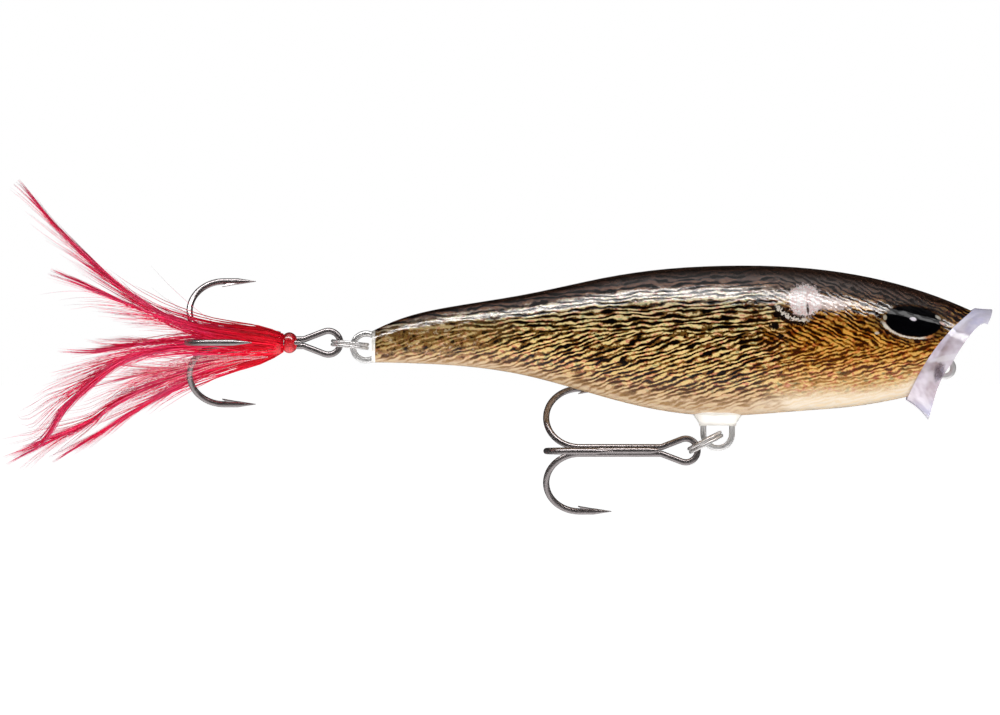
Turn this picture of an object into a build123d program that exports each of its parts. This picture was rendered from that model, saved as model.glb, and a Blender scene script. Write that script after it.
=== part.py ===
"""Topwater popper: a wooden surface lure with a clear cupped face, two treble hooks and a feathered tail.

The origin is the centre of the line-tie eye at the nose. +X runs towards the nose, +Z towards the back
and -Y towards the lure's right side. All sizes are in millimetres.
"""
import os
from math import cos, radians, sin, sqrt

from build123d import *

os.makedirs("parts", exist_ok=True)

# ---------------------------------------------------------------- driving dimensions

# Body: a wooden blank in two halves, glued at the middle plane
BODY_LENGTH = 90.0  # tail face to the tip of the cup's upper lip
BODY_DEPTH = 21.8  # at the deepest section
BODY_WIDTH = 16.8  # at the widest section
TIE_SETBACK = 6.8  # lip tip back to the line tie's centre
TAIL_RISE = 3.05  # the tail eye's centre above the line tie's centre

# Sections of the blank: share of the length from the tail, then the back line, the belly line
# (shares of the depth, above the tail eye) and the half-width (share of half the width)
STATIONS = [
    (0.000, 0.104, -0.104, 0.27),
    (0.045, 0.186, -0.106, 0.36),
    (0.130, 0.270, -0.122, 0.46),
    (0.250, 0.352, -0.192, 0.60),
    (0.380, 0.465, -0.340, 0.74),
    (0.480, 0.522, -0.432, 0.87),
    (0.570, 0.541, -0.458, 0.96),
    (0.680, 0.532, -0.430, 1.00),
    (0.780, 0.482, -0.395, 0.97),
    (0.880, 0.381, -0.315, 0.86),
    (0.960, 0.255, -0.225, 0.72),
    (1.020, 0.130, -0.145, 0.58),
]

# Clear cup pressed onto the nose; "up" runs along the rim from its lower lip to its upper lip
CUP_TILT = 30.0  # the rim leans back from vertical, so the face looks forward and down
RIM_HEIGHT = 18.6
RIM_WIDTH = 17.0
RIM_AHEAD = 1.63  # rim's middle in front of the line tie
RIM_UP = 1.53  # rim's middle above the line tie, along the rim
RIM_SAG = 1.7  # how far the rim's side view falls back behind its plane
# The rim seen from the side, from its upper lip to its lower lip: along the rim as a share of half its
# height, then behind its plane as a share of the sag
RIM_PROFILE = [(1.0, 0.0), (0.55, 0.0), (0.17, 0.53), (-0.25, 1.0), (-0.62, 0.71), (-1.0, 0.0)]
CUP_DEPTH = 4.8  # rim to the joint with the wood, at its deepest
CUP_BACK_RADIUS = 24.7  # the joint is part of a round cylinder across the lure
CUP_BACK_DROP = 2.9  # the joint's deepest line lies this far below the rim's middle
CUP_JOINT_HEIGHT = 0.752  # the wall's height at the joint, as a share of the body's depth
CUP_JOINT_WIDTH = 0.738  # its width there, as a share of the body's width
CUP_OVERSIZE = 0.1  # the wall's blank stands this far outside the rim before the rim is cut
# Ovals of the cup's outer wall: ahead of the rim's plane, share of the way from the joint's size to the
# rim's, waist taken off the half-height, middle along the rim
CUP_OVALS = [
    (-6.4, 0.0, 0.0, -0.5),
    (-4.4, 0.29, 0.55, -0.4),
    (-2.4, 0.63, 0.65, -0.2),
    (0.3, 1.0, 0.0, 0.0),
]
DISH_FLOOR = 3.4  # rim to the floor of the dish
DISH_CENTRE = 0.6  # the dish's centre in front of the rim
LIP_THICKNESS = 0.7
PEG_RADIUS = 2.6  # the cup's peg in the nose of the blank
PEG_DEPTH = 3.4  # how far the peg goes into the wood
PEG_ROOT = 0.5  # how far it runs into the cup's wall

# Through-wire: one stainless wire from the line tie, out under the belly and out at the tail
WIRE_DIA = 0.88
WIRE_GAP = 0.04  # between the two runs where the wire doubles back
TIE_RADIUS = 1.2  # centreline of the line-tie eye
TAIL_EYE_RADIUS = 1.95  # centreline of the tail eye
EYE_FLARE = 0.9  # bend radius where a doubled run opens into the tail eye
TIE_FLARE = 0.45  # the same at the line tie
EYE_LEAN = 45.0  # how steeply the run opens
TAIL_EYE_OUT = 0.8  # tail eye's centre behind the tail face
WIRE_TAIL = 6.0  # length of each doubled end in the wood
BELLY_LEG_SHARE = 0.581  # front leg of the belly hanger, as a share of the length
BELLY_LEG_PITCH = 4.17  # between the hanger's two legs
BELLY_DROP = 4.75  # hanger's lowest centreline under the belly line
WIRE_BEND = 3.0  # bend radius inside the blank

# Tail plate and belly pedestal, moulded in white plastic
PLATE_THICKNESS = 0.5
PEDESTAL_LENGTH = 7.0
PEDESTAL_FOOT_LENGTH = 5.4
PEDESTAL_WIDTH = 4.6
PEDESTAL_FOOT_WIDTH = 3.2
PEDESTAL_DROP = 1.5  # under the belly line
PEDESTAL_WAIST = 0.8  # the foot's straight part starts at this share of the drop
PEDESTAL_SOCKET = 2.0  # above the belly line, in the wood

# Lead ballast
BELLY_LEAD_DIA = 4.6
BELLY_LEAD_LENGTH = 12.0
BELLY_LEAD_GAP = 1.0  # ahead of the wire's bend into the belly hanger
BELLY_LEAD_COVER = 1.3  # wood under the lead
TAIL_LEAD_DIA = 2.8
TAIL_LEAD_LENGTH = 9.0
TAIL_LEAD_SHARE = 0.19  # its middle, as a share of the length
LEAD_CHAMFER = 0.1  # as a share of the slug's diameter
LEAD_CLEARANCE = 0.15  # between the lead and the wire

# Split rings: two flat coils and the jog that joins them
RING_OUTER_DIA = 5.6
RING_WIRE_DIA = 0.5
RING_COIL_PITCH = 0.52
RING_JOG = 26.0  # degrees
RING_SPLIT = 90.0  # the jog's place round the ring, from its far end
TAIL_RING_TILT = 6.0  # the ring's far end is this many degrees above its near end
BELLY_RING_TILT = -28.0
TAIL_RING_FORWARD = 2.35  # from the wire that it hangs on to the ring's near outer edge
TAIL_RING_LIFT = 0.3  # where the ring crosses the tail eye, above the eye's centre
BELLY_RING_FORWARD = 2.7
BELLY_RING_SLIDE = 35.0  # degrees below the hanger's round end where the ring hangs on it

# Treble hooks: a double hook bent from one wire, and a single hook brazed beside it
HOOK_DIA = 0.92
HOOK_SHANK_GAP = 0.02  # between the double hook's two shanks
HOOK_BRAZE_GAP = 0.02  # between the single hook's shank and the double hook's two
HOOK_ARM_ANGLE = 60.0  # the double hook's arms are this far from level, the single hook's arm is level
HOOK_EYE_FLARE = 0.6
HOOK_EYE_LEAN = 21.0
HOOK_TIP_RADIUS = 0.05
SINGLE_START = 0.3  # the single hook's shank starts this far behind the eye's flare
SINGLE_NOSE = 1.2  # length of its tapered start
HOOK_EYE_RADIUS = 1.72  # centreline
HOOK_EYE_SLACK = 0.68  # from the ring's wire to the inside of the eye
HOOK_REACH = 20.84  # from the ring's wire to the back of the bend
HOOK_GAPE = 9.8  # from shank to point, centre to centre
HOOK_POINT = 4.65  # bend to the tip of the point
HOOK_TAPER = 2.6  # length of the needle point
BARB_LENGTH = 2.6
BARB_BACK = 0.87  # the barb's free edge runs back under its tip this far before it meets the arm
BARB_HEIGHT = 0.42
BARB_THICKNESS = 0.3
BARB_ROOT = 0.1  # how far the barb is sunk in the arm
BARB_FROM_TIP = 4.9

# Feather dressing on the tail treble, measured back from the ring's wire
BEAD_START = 5.0
BEAD_LENGTH = 2.5
BEAD_RADIUS = 1.52
WRAP_LENGTH = 1.9
WRAP_RADIUS = 1.8
FEATHER_THICKNESS = 0.3
FEATHER_BUTT = 0.5  # width of a feather where it leaves the wrap
FLASH_DIA = 0.26
FLASH_LENGTH = 19.0
FLASH_SIDE = 1.5  # the strands' layer beside the shanks
FLASH_ROOT_HEIGHT = -0.45
FLASH_PITCH = 0.3  # between the strands' roots
FLASH_ANGLES = [-1.0, -2.0, -3.0, -4.0]

# Feathers, behind the wrap: name, middle and tip (back from the wrap, height), width, height of the
# butt, layer (distance to the left of the shanks; a negative one is on the lure's right)
FEATHERS = [
    ("feather_top_long", (17.0, 6.3), (35.3, 23.4), 3.0, 1.20, -1.50),
    ("feather_top_short", (15.6, 4.4), (30.8, 11.4), 3.4, 1.05, -1.84),
    ("feather_middle", (15.6, 0.75), (30.0, -0.6), 1.3, 0.50, 1.15),
    ("feather_low_inner", (17.6, -3.5), (36.4, -16.2), 2.8, -1.35, -1.50),
    ("feather_low_broad", (17.0, -5.2), (37.6, -17.0), 3.8, -1.05, -1.84),
    ("feather_low_outer", (16.1, -6.6), (30.9, -17.0), 3.0, -1.40, 0.77),
    ("feather_under", (14.6, -1.5), (29.1, -7.5), 1.6, -0.60, 1.15),
]

# ---------------------------------------------------------------- worked out from those

TAIL_X = TIE_SETBACK - BODY_LENGTH
WIRE_RADIUS = WIRE_DIA / 2
WIRE_OFFSET = (WIRE_DIA + WIRE_GAP) / 2  # each doubled run from its eye's axis
HOOK_RADIUS = HOOK_DIA / 2
HOOK_SHANK_PITCH = HOOK_DIA + HOOK_SHANK_GAP
RING_RADIUS = (RING_OUTER_DIA - RING_WIRE_DIA) / 2


def line_at(share, column):
    """A value of the sections between two stations, by straight interpolation."""
    for low, high in zip(STATIONS, STATIONS[1:]):
        if share <= high[0]:
            mix = (share - low[0]) / (high[0] - low[0])
            return low[column] + mix * (high[column] - low[column])
    return STATIONS[-1][column]


def belly_z(share):
    return TAIL_RISE + line_at(share, 2) * BODY_DEPTH


FRONT_LEG_X = TAIL_X + BELLY_LEG_SHARE * BODY_LENGTH
REAR_LEG_X = FRONT_LEG_X - BELLY_LEG_PITCH
BELLY_Z = belly_z(BELLY_LEG_SHARE)
HANGER_RADIUS = BELLY_LEG_PITCH / 2
HANGER_Z = BELLY_Z - BELLY_DROP + HANGER_RADIUS  # centre of the hanger's round end

# The cup's own plane: its x is the lure's left, its y runs up the rim and its z looks forward
RIM_UP_DIR = Vector(sin(radians(CUP_TILT)), 0, cos(radians(CUP_TILT)))
RIM_OUT_DIR = Vector(cos(radians(CUP_TILT)), 0, -sin(radians(CUP_TILT)))
RIM_CENTRE = RIM_OUT_DIR * RIM_AHEAD + RIM_UP_DIR * RIM_UP
RIM = Plane(origin=RIM_CENTRE, x_dir=(0, 1, 0), z_dir=RIM_OUT_DIR)

# ---------------------------------------------------------------- helpers


def across(radius, length, up, out):
    """A round bar across the lure, placed in the cup's plane."""
    place = RIM * Pos(0, up, out) * Rot(0, 90, 0)
    return place * Cylinder(radius, length)


def eye_half(start, radius, offset, flare, lean, side, backwards):
    """Half of a wire eye in the middle plane, from one doubled run to the far end of the eye.

    start is where the run ends, offset how far the run is from the eye's axis, side is 1 for the upper
    half, and backwards is 1 when the eye is at the tail end of the run. Returns the far end.
    """
    lean_rad = radians(lean)
    rise = radius * cos(lean_rad) - offset - flare * (1 - cos(lean_rad))
    straight = rise / sin(lean_rad)
    heading = -1 if backwards else 1
    turn = side * heading
    first = JernArc(start, (heading, 0), flare, turn * lean)
    second = Line(first @ 1, (first @ 1) + (first % 1) * straight)
    third = JernArc(second @ 1, second % 1, radius, -turn * (90 + lean))
    return third @ 1


def eye_length(radius, offset, flare, lean):
    """How far an eye's centre is from the end of its doubled runs."""
    lean_rad = radians(lean)
    straight = (radius * cos(lean_rad) - offset - flare * (1 - cos(lean_rad))) / sin(lean_rad)
    return flare * sin(lean_rad) + straight * cos(lean_rad) + radius * sin(lean_rad)


def sweep_wire(line, radius):
    """Sweeps a round wire along the edges of a BuildLine, in the open BuildPart."""
    path = line.wires()[0]
    with BuildSketch(Plane(origin=path @ 0, z_dir=path % 0)) as section:
        Circle(radius)
    sweep(section.sketch, path=path)


# ---------------------------------------------------------------- through-wire

tie_run_x = -eye_length(TIE_RADIUS, WIRE_OFFSET, TIE_FLARE, EYE_LEAN)
tail_eye_x = TAIL_X - TAIL_EYE_OUT
tail_run_x = tail_eye_x + eye_length(TAIL_EYE_RADIUS, WIRE_OFFSET, EYE_FLARE, EYE_LEAN)

with BuildPart() as through_wire:
    with BuildLine(Plane.XZ) as wire_line:
        # the short end in the nose, then the line-tie eye
        Line((tie_run_x - WIRE_TAIL, -WIRE_OFFSET), (tie_run_x, -WIRE_OFFSET))
        eye_half((tie_run_x, -WIRE_OFFSET), TIE_RADIUS, WIRE_OFFSET, TIE_FLARE, EYE_LEAN, -1, False)
        eye_half((tie_run_x, WIRE_OFFSET), TIE_RADIUS, WIRE_OFFSET, TIE_FLARE, EYE_LEAN, 1, False)
        # back to the belly hanger
        Line((tie_run_x, WIRE_OFFSET), (FRONT_LEG_X + WIRE_BEND, WIRE_OFFSET))
        turn_down = JernArc((FRONT_LEG_X + WIRE_BEND, WIRE_OFFSET), (-1, 0), WIRE_BEND, 90)
        Line(turn_down @ 1, (FRONT_LEG_X, HANGER_Z))
        JernArc((FRONT_LEG_X, HANGER_Z), (0, -1), HANGER_RADIUS, -180)
        # up again and on to the tail eye
        tail_run_z = TAIL_RISE - WIRE_OFFSET
        Line((REAR_LEG_X, HANGER_Z), (REAR_LEG_X, tail_run_z - WIRE_BEND))
        turn_back = JernArc((REAR_LEG_X, tail_run_z - WIRE_BEND), (0, 1), WIRE_BEND, 90)
        Line(turn_back @ 1, (tail_run_x, tail_run_z))
        eye_half((tail_run_x, tail_run_z), TAIL_EYE_RADIUS, WIRE_OFFSET, EYE_FLARE, EYE_LEAN, -1, True)
        upper_run_z = TAIL_RISE + WIRE_OFFSET
        eye_half((tail_run_x, upper_run_z), TAIL_EYE_RADIUS, WIRE_OFFSET, EYE_FLARE, EYE_LEAN, 1, True)
        Line((tail_run_x, upper_run_z), (tail_run_x + WIRE_TAIL, upper_run_z))
    sweep_wire(wire_line, WIRE_RADIUS)

# ---------------------------------------------------------------- cup and blank


def section_plane(share):
    """The middle of one of the blank's sections, facing the nose."""
    middle = TAIL_RISE + (line_at(share, 1) + line_at(share, 2)) / 2 * BODY_DEPTH
    return Plane(origin=(TAIL_X + share * BODY_LENGTH, 0, middle), x_dir=(0, 1, 0), z_dir=(1, 0, 0))


with BuildPart() as blank:
    # the whole body before its nose is cut
    for share, back, belly, half_width in STATIONS:
        with BuildSketch(section_plane(share)):
            Ellipse(half_width * BODY_WIDTH / 2, (back - belly) * BODY_DEPTH / 2)
    loft()

joint_bar = across(CUP_BACK_RADIUS, 2 * BODY_WIDTH, -CUP_BACK_DROP, CUP_BACK_RADIUS - CUP_DEPTH)
joint_centre = RIM_CENTRE - RIM_UP_DIR * CUP_BACK_DROP + RIM_OUT_DIR * (CUP_BACK_RADIUS - CUP_DEPTH)
joint_x = joint_centre.X - sqrt(CUP_BACK_RADIUS**2 - joint_centre.Z**2)  # at the line tie's height

dish_out = DISH_CENTRE + DISH_FLOOR
dish_side = sqrt(1 - ((DISH_CENTRE + RIM_SAG) / dish_out) ** 2)
dish_end = sqrt(1 - (DISH_CENTRE / dish_out) ** 2)
dish_size = (
    (RIM_WIDTH / 2 - LIP_THICKNESS) / dish_side,
    (RIM_HEIGHT / 2 - LIP_THICKNESS) / dish_end,
    dish_out,
)
dish = RIM * Pos(0, 0, DISH_CENTRE) * scale(Sphere(1), by=dish_size)

with BuildPart() as cup_face:
    # flared wall, from the joint with the wood to the rim
    joint_height, joint_width = CUP_JOINT_HEIGHT * BODY_DEPTH / 2, CUP_JOINT_WIDTH * BODY_WIDTH / 2
    rim_height, rim_width = RIM_HEIGHT / 2 + CUP_OVERSIZE, RIM_WIDTH / 2 + CUP_OVERSIZE
    for out, flare, waist, up in CUP_OVALS:
        half_width = joint_width + flare * (rim_width - joint_width)
        half_height = joint_height + flare * (rim_height - joint_height) - waist
        with BuildSketch(RIM.offset(out)):
            with Locations((0, up)):
                Ellipse(half_width, half_height)
    loft()
    add(joint_bar, mode=Mode.INTERSECT)
    # the rim's side view, cut straight across
    with BuildSketch(Plane(origin=RIM_CENTRE, x_dir=RIM_UP_DIR, z_dir=(0, 1, 0))) as rim_cut:
        with BuildLine():
            lip_line = Spline(*[(up * RIM_HEIGHT / 2, -back * RIM_SAG) for up, back in RIM_PROFILE])
            Polyline(
                lip_line @ 1,
                (-RIM_HEIGHT, 0),
                (-RIM_HEIGHT, RIM_HEIGHT),
                (RIM_HEIGHT, RIM_HEIGHT),
                (RIM_HEIGHT, 0),
                lip_line @ 0,
            )
        make_face()
    extrude(rim_cut.sketch, amount=RIM_WIDTH, both=True, mode=Mode.SUBTRACT)
    add(dish, mode=Mode.SUBTRACT)
    # peg into the nose of the blank, round the wire
    with BuildSketch(Plane(origin=(joint_x - PEG_DEPTH, 0, 0), z_dir=(1, 0, 0))) as peg_section:
        Circle(PEG_RADIUS)
    extrude(peg_section.sketch, amount=PEG_DEPTH + PEG_ROOT)
    peg = extrude(peg_section.sketch, amount=PEG_DEPTH + PEG_ROOT, mode=Mode.PRIVATE)
    add(through_wire.part, mode=Mode.SUBTRACT)

# ---------------------------------------------------------------- tail plate, pedestal and ballast

with BuildPart() as tail_plate:
    add(blank.part)
    split(bisect_by=Plane.YZ.offset(TAIL_X + PLATE_THICKNESS), keep=Keep.BOTTOM)
    add(through_wire.part, mode=Mode.SUBTRACT)

pedestal_x = (FRONT_LEG_X + REAR_LEG_X) / 2
with BuildPart() as belly_hanger_pedestal:
    pedestal_levels = [
        (PEDESTAL_SOCKET, PEDESTAL_LENGTH, PEDESTAL_WIDTH),
        (0, PEDESTAL_LENGTH, PEDESTAL_WIDTH),
        (-PEDESTAL_DROP * PEDESTAL_WAIST, PEDESTAL_FOOT_LENGTH, PEDESTAL_FOOT_WIDTH),
        (-PEDESTAL_DROP, PEDESTAL_FOOT_LENGTH, PEDESTAL_FOOT_WIDTH),
    ]
    for above, below in zip(pedestal_levels, pedestal_levels[1:]):
        for level, length, width in (above, below):
            with BuildSketch(Plane.XY.offset(BELLY_Z + level)):
                with Locations((pedestal_x, 0)):
                    SlotOverall(length, width)
        loft()
    pedestal_form = belly_hanger_pedestal.part
    add(through_wire.part, mode=Mode.SUBTRACT)


def lead_slug(x, z, diameter, length):
    """A lead slug lying along the lure."""
    with BuildPart() as slug:
        with BuildSketch(Plane(origin=(x - length / 2, 0, z), z_dir=(1, 0, 0))) as round_section:
            Circle(diameter / 2)
        extrude(round_section.sketch, amount=length)
        chamfer(slug.edges(), LEAD_CHAMFER * diameter)
    return slug.part


belly_lead_x = FRONT_LEG_X + WIRE_BEND + BELLY_LEAD_GAP + BELLY_LEAD_LENGTH / 2
belly_lead_share = (belly_lead_x - TAIL_X) / BODY_LENGTH
belly_lead_z = belly_z(belly_lead_share) + BELLY_LEAD_COVER + BELLY_LEAD_DIA / 2
belly_ballast = lead_slug(belly_lead_x, belly_lead_z, BELLY_LEAD_DIA, BELLY_LEAD_LENGTH)

tail_lead_x = TAIL_X + TAIL_LEAD_SHARE * BODY_LENGTH
tail_lead_z = TAIL_RISE - WIRE_OFFSET + WIRE_RADIUS + LEAD_CLEARANCE + TAIL_LEAD_DIA / 2
tail_ballast = lead_slug(tail_lead_x, tail_lead_z, TAIL_LEAD_DIA, TAIL_LEAD_LENGTH)

# ---------------------------------------------------------------- the blank's two halves

with BuildPart() as wood:
    add(blank.part)
    for taken in (joint_bar, peg, tail_plate.part, pedestal_form, belly_ballast, tail_ballast):
        add(taken, mode=Mode.SUBTRACT)
    add(through_wire.part, mode=Mode.SUBTRACT)

with BuildPart() as body_left_half:
    add(wood.part)
    split(bisect_by=Plane.XZ, keep=Keep.BOTTOM)

with BuildPart() as body_right_half:
    add(wood.part)
    split(bisect_by=Plane.XZ, keep=Keep.TOP)

# ---------------------------------------------------------------- split rings


def split_ring(hang_point, tilt, forward):
    """A split ring on the wire at hang_point, and the middle of its wire at the far end."""
    along = Vector(-cos(radians(tilt)), 0, sin(radians(tilt)))
    centre = hang_point + along * (RING_OUTER_DIA / 2 - forward)
    flat = Plane(origin=centre, x_dir=along, z_dir=along.cross(Vector(0, 1, 0)))
    half_jog = RING_JOG / 2
    with BuildPart() as ring:
        ends = []
        for level in (-RING_COIL_PITCH / 2, RING_COIL_PITCH / 2):
            coil_plane = flat.offset(level)
            with BuildLine(coil_plane) as coil:
                CenterArc((0, 0), RING_RADIUS, RING_SPLIT + half_jog, 360 - RING_JOG)
            sweep_wire(coil, RING_WIRE_DIA / 2)
            ends.append(coil.wires()[0])
        # the jog joins the end of one coil to the start of the other
        with BuildLine() as jog:
            Line(ends[0] @ 1, ends[1] @ 0)
        sweep_wire(jog, RING_WIRE_DIA / 2)
        with Locations(ends[0] @ 1, ends[1] @ 0):
            Sphere(RING_WIRE_DIA / 2)
    return ring.part, centre + along * RING_RADIUS


tail_hang = Vector(tail_eye_x - TAIL_EYE_RADIUS, 0, TAIL_RISE + TAIL_RING_LIFT)
tail_split_ring, tail_pin = split_ring(tail_hang, TAIL_RING_TILT, TAIL_RING_FORWARD)

slide = radians(BELLY_RING_SLIDE)
belly_hang = Vector(pedestal_x - HANGER_RADIUS * cos(slide), 0, HANGER_Z - HANGER_RADIUS * sin(slide))
belly_split_ring, belly_pin = split_ring(belly_hang, BELLY_RING_TILT, BELLY_RING_FORWARD)

# ---------------------------------------------------------------- treble hooks, pinned at the origin

hook_offset = HOOK_SHANK_PITCH / 2
hook_eye_x = HOOK_EYE_SLACK + HOOK_RADIUS - HOOK_EYE_RADIUS
hook_run_x = hook_eye_x - eye_length(HOOK_EYE_RADIUS, hook_offset, HOOK_EYE_FLARE, HOOK_EYE_LEAN)
hook_bend_x = HOOK_GAPE / 2 - HOOK_REACH
single_side = -sqrt((HOOK_DIA + HOOK_BRAZE_GAP) ** 2 - hook_offset**2)


def hook_arm(start, outward):
    """Adds a round bend, an arm, a needle point and a barb, bent outward from the end of a shank."""
    arm_plane = Plane(origin=start, x_dir=(1, 0, 0), z_dir=Vector(1, 0, 0).cross(outward))
    with BuildLine(arm_plane) as arm:
        bend = JernArc((0, 0), (-1, 0), HOOK_GAPE / 2, -180)
        Line(bend @ 1, (HOOK_POINT - HOOK_TAPER, HOOK_GAPE))
    sweep_wire(arm, HOOK_RADIUS)
    point_start = arm_plane.from_local_coords((HOOK_POINT - HOOK_TAPER, HOOK_GAPE, 0))
    with Locations(Plane(origin=point_start, z_dir=(1, 0, 0))):
        Cone(HOOK_RADIUS, HOOK_TIP_RADIUS, HOOK_TAPER, align=(Align.CENTER, Align.CENTER, Align.MIN))
    barb_tip = HOOK_POINT - BARB_FROM_TIP
    inside = HOOK_GAPE - HOOK_RADIUS
    with BuildSketch(arm_plane) as barb:
        Polygon(
            (barb_tip, inside - BARB_HEIGHT),
            (barb_tip + BARB_LENGTH, inside + BARB_ROOT),
            (barb_tip + BARB_BACK, inside + BARB_ROOT),
            align=None,
        )
    extrude(barb.sketch, amount=BARB_THICKNESS / 2, both=True)


with BuildPart() as double_hook:
    with BuildLine(Plane.XZ) as double_line:
        for side in (-1, 1):
            Line((hook_bend_x, side * hook_offset), (hook_run_x, side * hook_offset))
            run_end = (hook_run_x, side * hook_offset)
            eye_half(run_end, HOOK_EYE_RADIUS, hook_offset, HOOK_EYE_FLARE, HOOK_EYE_LEAN, side, False)
    sweep_wire(double_line, HOOK_RADIUS)
    for side in (-1, 1):
        lean = radians(HOOK_ARM_ANGLE)
        hook_arm((hook_bend_x, 0, side * hook_offset), Vector(0, cos(lean), side * sin(lean)))

with BuildPart() as single_hook:
    single_start_x = hook_run_x - SINGLE_START
    with BuildLine() as single_line:
        Line((hook_bend_x, single_side, 0), (single_start_x - SINGLE_NOSE, single_side, 0))
    sweep_wire(single_line, HOOK_RADIUS)
    nose_base = Plane(origin=(single_start_x - SINGLE_NOSE, single_side, 0), z_dir=(1, 0, 0))
    with Locations(nose_base):
        Cone(HOOK_RADIUS, HOOK_RADIUS / 2, SINGLE_NOSE, align=(Align.CENTER, Align.CENTER, Align.MIN))
    hook_arm((hook_bend_x, single_side, 0), Vector(0, -1, 0))

# ---------------------------------------------------------------- feather dressing, pinned at the origin

with BuildPart() as shank_core:
    # fills the space between the three brazed shanks
    with BuildSketch(Plane(origin=(-HOOK_REACH / 2, 0, 0), x_dir=(0, 1, 0), z_dir=(1, 0, 0))) as core:
        Polygon((0, hook_offset), (0, -hook_offset), (single_side, 0), align=None)
    extrude(core.sketch, amount=HOOK_REACH / 2)

with BuildPart() as head_bead:
    bead_middle = -BEAD_START - BEAD_LENGTH / 2
    with BuildSketch(Plane.XZ) as bead_section:
        with Locations((bead_middle, 0)):
            Ellipse(BEAD_LENGTH / 2, BEAD_RADIUS)
            Rectangle(
                BEAD_LENGTH, BEAD_RADIUS, align=(Align.CENTER, Align.MAX), mode=Mode.SUBTRACT
            )
    revolve(bead_section.sketch, axis=Axis.X)
    for shank in (shank_core.part, double_hook.part, single_hook.part):
        add(shank, mode=Mode.SUBTRACT)

wrap_start = -BEAD_START - BEAD_LENGTH
wrap_end = wrap_start - WRAP_LENGTH
with BuildPart() as thread_wrap:
    with BuildSketch(Plane(origin=(wrap_end, 0, 0), z_dir=(1, 0, 0))) as wrap_section:
        Circle(WRAP_RADIUS)
    extrude(wrap_section.sketch, amount=WRAP_LENGTH)
    for shank in (shank_core.part, double_hook.part, single_hook.part):
        add(shank, mode=Mode.SUBTRACT)


def feather(middle, tip, width, butt, layer):
    """A flat blade from the wrap's end through middle to tip, in its own layer beside the shanks."""
    near_side = (wrap_end, layer - FEATHER_THICKNESS / 2, 0)
    blade_plane = Plane(origin=near_side, x_dir=(-1, 0, 0), z_dir=(0, 1, 0))
    run = Vector(tip[0], tip[1] - butt, 0).normalized()
    across_blade = Vector(-run.Y, run.X, 0) * (width / 2)
    with BuildPart() as blade:
        with BuildSketch(blade_plane) as outline:
            with BuildLine():
                upper_middle = (middle[0] + across_blade.X, middle[1] + across_blade.Y)
                lower_middle = (middle[0] - across_blade.X, middle[1] - across_blade.Y)
                upper = Spline((0, butt + FEATHER_BUTT / 2), upper_middle, tip)
                lower = Spline(tip, lower_middle, (0, butt - FEATHER_BUTT / 2))
                Line(lower @ 1, upper @ 0)
            make_face()
        extrude(outline.sketch, amount=FEATHER_THICKNESS)
    return blade.part


with BuildPart() as flash_strands:
    for angle in FLASH_ANGLES:
        heading = Vector(-cos(radians(angle)), 0, sin(radians(angle)))
        root = Vector(wrap_end, FLASH_SIDE, FLASH_ROOT_HEIGHT - FLASH_PITCH * FLASH_ANGLES.index(angle))
        with BuildLine() as strand:
            Line(root, root + heading * FLASH_LENGTH)
        sweep_wire(strand, FLASH_DIA / 2)

# ---------------------------------------------------------------- export

to_tail = Pos(*tail_pin)
to_belly = Pos(*belly_pin)
pieces = {
    "body_left_half": body_left_half.part,
    "body_right_half": body_right_half.part,
    "through_wire": through_wire.part,
    "belly_ballast": belly_ballast,
    "tail_ballast": tail_ballast,
    "cup_face": cup_face.part,
    "belly_hanger_pedestal": belly_hanger_pedestal.part,
    "tail_plate": tail_plate.part,
    "belly_split_ring": belly_split_ring,
    "tail_split_ring": tail_split_ring,
    "belly_treble_double_hook": to_belly * double_hook.part,
    "belly_treble_single_hook": to_belly * single_hook.part,
    "tail_treble_double_hook": to_tail * double_hook.part,
    "tail_treble_single_hook": to_tail * single_hook.part,
    "head_bead": to_tail * head_bead.part,
    "thread_wrap": to_tail * thread_wrap.part,
    "flash_strands": to_tail * flash_strands.part,
}
for name, middle, tip, width, butt, layer in FEATHERS:
    pieces[name] = to_tail * feather(middle, tip, width, butt, layer)

for name, piece in pieces.items():
    piece.label = name
    export_step(piece, f"parts/{name}.step")

print("tail ring turns at", tail_hang, "and the tail treble at", tail_pin)
print("belly ring turns at", belly_hang, "and the belly treble at", belly_pin)
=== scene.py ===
"""Looks of a topwater popper: lacquered fur print, clear cup, wire, rings, trebles and a dressed tail."""

import math

import bpy
import numpy as np
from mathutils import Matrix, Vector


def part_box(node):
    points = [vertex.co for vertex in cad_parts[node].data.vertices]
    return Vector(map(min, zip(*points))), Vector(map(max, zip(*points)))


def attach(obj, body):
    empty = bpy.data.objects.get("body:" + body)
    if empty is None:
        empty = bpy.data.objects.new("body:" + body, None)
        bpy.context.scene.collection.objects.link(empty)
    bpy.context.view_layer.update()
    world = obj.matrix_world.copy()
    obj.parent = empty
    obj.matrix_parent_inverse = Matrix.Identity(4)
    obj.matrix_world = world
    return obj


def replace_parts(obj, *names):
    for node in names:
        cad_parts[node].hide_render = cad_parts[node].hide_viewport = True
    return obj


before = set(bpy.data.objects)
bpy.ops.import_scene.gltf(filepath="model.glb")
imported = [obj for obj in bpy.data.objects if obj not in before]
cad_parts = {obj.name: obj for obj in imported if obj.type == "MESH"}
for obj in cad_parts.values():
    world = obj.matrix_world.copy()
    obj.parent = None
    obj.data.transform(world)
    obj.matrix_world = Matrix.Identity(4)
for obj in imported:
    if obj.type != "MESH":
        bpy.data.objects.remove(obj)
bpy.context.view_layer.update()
MM = 0.001
rng = np.random.default_rng(20)


def mm_box(node):
    """The CAD node's lowest and highest corner in millimetres."""
    low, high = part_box(node)
    return np.array(low) / MM, np.array(high) / MM


# ---------------------------------------------------------------- camera, stage and light

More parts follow.
